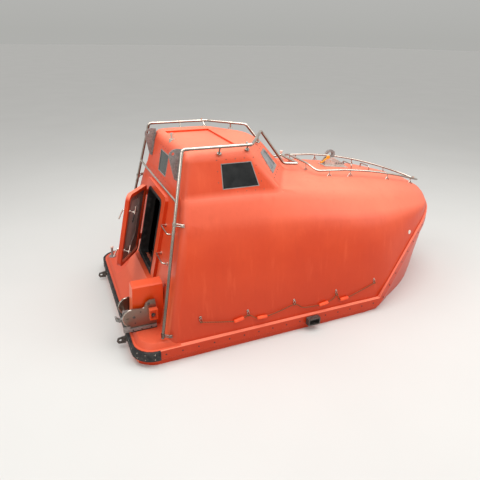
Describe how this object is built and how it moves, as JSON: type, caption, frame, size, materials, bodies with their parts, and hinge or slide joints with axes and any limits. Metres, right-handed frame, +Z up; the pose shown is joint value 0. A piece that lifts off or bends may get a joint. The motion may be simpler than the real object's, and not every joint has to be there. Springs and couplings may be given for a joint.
{
  "type": "enclosed free-fall lifeboat",
  "caption": "Small enclosed free-fall lifeboat afloat, with a raised wheelhouse, an aft door ajar, steel rails, release hooks, a steering nozzle and a propeller.",
  "frame": {"origin": "on the waterline, on the centre plane, amidships", "axes": "+X to the bow, +Y to port, +Z up"},
  "size_m": [4.5579, 2.5412, 2.7982],
  "materials": {
    "gelcoat_orange": "gloss gelcoat",
    "stainless": "brushed",
    "galvanised": "matt",
    "rubber": "matt",
    "glazing": "clear, tinted",
    "rope": "woven",
    "bronze": "polished",
    "moulding_grey": "matt"
  },
  "bodies": {
    "boat": {"hull": "gelcoat_orange", "keel_skeg": "gelcoat_orange", "skeg_heel": "gelcoat_orange", "canopy": "gelcoat_orange", "wheelhouse": "gelcoat_orange", "aft_bulkhead": "gelcoat_orange", "side_window_starboard": "glazing", "side_window_port": "glazing", "front_window_starboard": "glazing", "front_window_port": "glazing", "aft_window": "glazing", "aft_platform": "gelcoat_orange", "flange_band_starboard": "gelcoat_orange", "flange_band_port": "gelcoat_orange", "stern_fender": "rubber", "door_gasket": "rubber", "stern_rail_starboard": "stainless", "stern_rail_port": "stainless", "stern_crossbar": "stainless", "foredeck_rail": "stainless", "lifting_plate_starboard": "galvanised", "lifting_plate_port": "galvanised", "towing_lug_starboard": "galvanised", "towing_lug_port": "galvanised", "mooring_bitt": "stainless", "stern_hook_frame": "stainless", "stern_release_box": "gelcoat_orange", "grab_rung_upper": "stainless", "grab_rung_lower": "stainless", "foredeck_rung_aft": "stainless", "foredeck_rung_fore": "stainless", "bow_hook_frame": "stainless", "roof_light": "stainless", "foredeck_vent": "stainless", "lifeline_starboard": "rope", "lifeline_port": "rope", "side_bracket_starboard": "galvanised", "side_bracket_port": "galvanised", "engine": "moulding_grey", "seat_bank_starboard": "moulding_grey", "seat_bank_port": "moulding_grey", "helm_seat": "moulding_grey", "helm_console": "moulding_grey"},
    "door": {"door_leaf": "gelcoat_orange", "door_liner": "moulding_grey", "door_pane": "glazing", "door_handle_upper": "stainless", "door_handle_lower": "stainless"},
    "nozzle": {"steering_nozzle": "gelcoat_orange"},
    "propeller": {"propeller": "bronze", "propeller_shaft": "stainless"},
    "stern_hook": {"stern_hook": "galvanised"},
    "bow_hook": {"bow_hook": "galvanised"}
  },
  "joints": [
    {"name": "door_hinge", "type": "hinge", "parent": "boat", "child": "door", "pos_m": [-1.88103, 0.336, 1.02981], "axis": [-0.1961, 0, -0.9806], "range_deg": [-31, 79]},
    {"name": "nozzle_steer", "type": "hinge", "parent": "boat", "child": "nozzle", "pos_m": [-2.12, 0, -0.425], "axis": [0, 0, 1], "range_deg": [-35, 35]},
    {"name": "propeller_spin", "type": "hinge", "parent": "boat", "child": "propeller", "pos_m": [-2.12, 0, -0.425], "axis": [1, 0, 0], "continuous": true},
    {"name": "stern_hook_turn", "type": "hinge", "parent": "boat", "child": "stern_hook", "pos_m": [-2.335, -0.727, 0.37], "axis": [0, 1, 0], "range_deg": [0, 55]},
    {"name": "bow_hook_turn", "type": "hinge", "parent": "boat", "child": "bow_hook", "pos_m": [0.52, 0, 1.5955], "axis": [0, 1, 0], "range_deg": [0, 60]}
  ]
}
